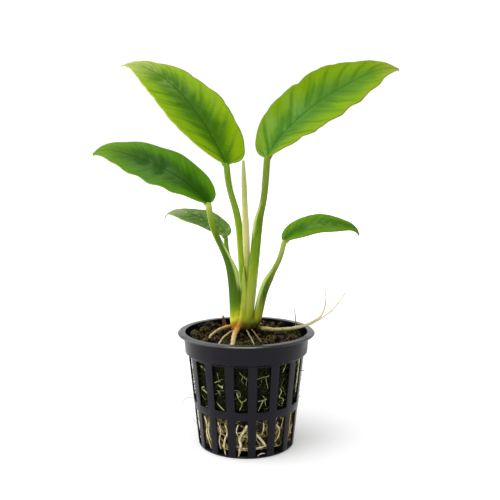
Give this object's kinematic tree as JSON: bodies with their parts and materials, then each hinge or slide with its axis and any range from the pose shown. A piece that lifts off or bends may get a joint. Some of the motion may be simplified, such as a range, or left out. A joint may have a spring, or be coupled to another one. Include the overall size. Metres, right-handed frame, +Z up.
{
  "type": "potted anubias",
  "caption": "Broad-leaved anubias water plant with leaf stalks, rhizome and surface roots, planted in a slotted net pot of soil.",
  "frame": {"origin": "centre of the net pot's base, on the surface that the pot stands on", "axes": "+Z up; X runs across the plant through its two big leaves, the longer one towards +X; -Y is the front"},
  "size_m": [0.1347, 0.0661, 0.1691],
  "materials": {
    "net_pot": "satin black plastic",
    "soil": "wet mossy soil, matte",
    "root_mass": "wet matted roots, matte",
    "rhizome": "smooth plant skin",
    "leaf_stalk": "smooth plant skin, satin",
    "leaf_blade_upper_left": "waxy leaf skin, satin",
    "leaf_blade_upper_right": "waxy leaf skin, satin",
    "leaf_blade_middle_left": "waxy leaf skin, satin",
    "leaf_blade_lower_left": "waxy leaf skin, satin",
    "leaf_blade_lower_right": "waxy leaf skin, satin",
    "rolled_leaf": "smooth plant skin",
    "root": "wet root skin"
  },
  "bodies": {
    "root": {"net_pot": "net_pot", "soil": "soil", "root_mass": "root_mass", "rhizome": "rhizome", "leaf_stalk_upper_left": "leaf_stalk", "leaf_stalk_upper_right": "leaf_stalk", "leaf_stalk_middle_left": "leaf_stalk", "leaf_stalk_lower_left": "leaf_stalk", "leaf_stalk_lower_right": "leaf_stalk", "leaf_blade_upper_left": "leaf_blade_upper_left", "leaf_blade_upper_right": "leaf_blade_upper_right", "leaf_blade_middle_left": "leaf_blade_middle_left", "leaf_blade_lower_left": "leaf_blade_lower_left", "leaf_blade_lower_right": "leaf_blade_lower_right", "rolled_leaf": "rolled_leaf", "root_front": "root", "root_left": "root", "root_front_left": "root", "root_front_right_inner": "root", "root_front_right_outer": "root", "root_long": "root", "root_long_inner_branch": "root", "root_long_outer_branch": "root"}
  },
  "joints": []
}
